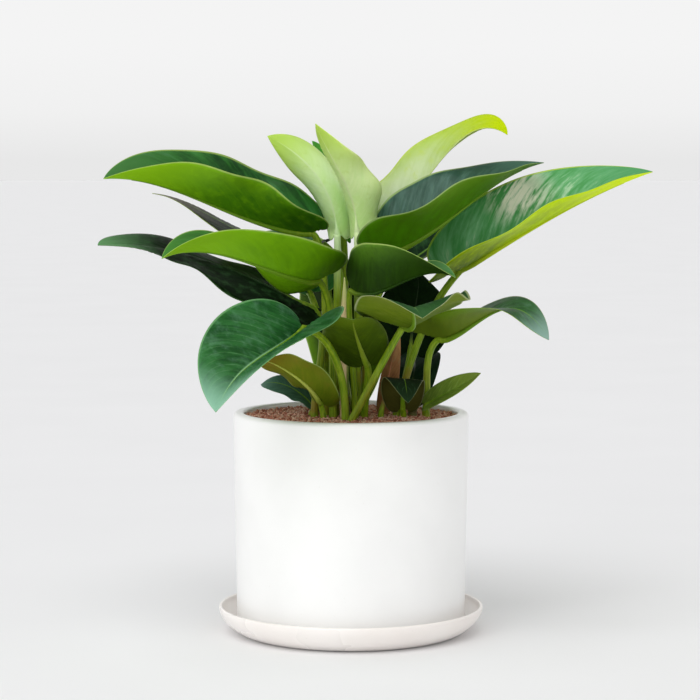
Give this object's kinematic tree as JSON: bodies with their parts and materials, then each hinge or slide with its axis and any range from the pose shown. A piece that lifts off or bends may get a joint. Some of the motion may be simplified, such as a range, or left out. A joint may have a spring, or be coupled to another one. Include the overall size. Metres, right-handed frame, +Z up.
{
  "type": "potted philodendron",
  "caption": "Upright leafy philodendron with long pointed leaves on round stalks, in a white cylindrical ceramic pot that stands on a shallow round saucer, topped with clay granules.",
  "frame": {"origin": "centre of the saucer's flat underside, on the pot's vertical axis", "axes": "+Z up along the pot's axis, -Y towards the viewer of the picture, +X to the viewer's right"},
  "size_m": [0.6069, 0.5311, 0.5707],
  "materials": {
    "leaf_green": "waxy mid-green leaf with a soft gloss",
    "leaf_dark_green": "waxy deep green leaf with a soft gloss",
    "leaf_light_green": "younger light green leaf, satin",
    "leaf_pale_green": "youngest leaf, pale lime underside, satin",
    "sheath_brown": "dry papery sheath, pinkish brown",
    "spear_cream": "rolled new leaf, cream to pale green",
    "stem_green": "ringed green-brown stem",
    "fired_clay": "rough fired clay granules",
    "potting_mix": "dark crumbly potting mix",
    "pot_glaze": "white satin glazed ceramic",
    "saucer_glaze": "warm white glazed ceramic"
  },
  "bodies": {
    "root": {"leaf_upper_left": "leaf_green", "leaf_rear_left_tip": "leaf_dark_green", "leaf_long_left": "leaf_green", "leaf_front_left": "leaf_green", "leaf_drooping_left": "leaf_green", "leaf_small_left": "leaf_green", "leaf_low_left": "leaf_dark_green", "leaf_young_left": "leaf_pale_green", "leaf_behind_young": "leaf_green", "leaf_young_middle": "leaf_pale_green", "leaf_young_right": "leaf_light_green", "leaf_upper_right": "leaf_green", "leaf_long_right": "leaf_green", "leaf_front_right": "leaf_green", "leaf_front_low_right": "leaf_green", "leaf_arching_right": "leaf_green", "leaf_dark_rear": "leaf_dark_green", "leaf_front_cupped": "leaf_light_green", "leaf_low_right": "leaf_green", "leaf_curled_low": "leaf_green", "leaf_low_rear_right": "leaf_dark_green", "leaf_back_left": "leaf_green", "leaf_back_middle": "leaf_green", "leaf_back_low": "leaf_green", "leaf_sheath": "sheath_brown", "new_leaf_spear": "spear_cream", "stem_main": "stem_green", "stem_side": "stem_green", "clay_granules": "fired_clay", "growing_mix": "potting_mix", "pot": "pot_glaze", "saucer": "saucer_glaze"}
  },
  "joints": []
}
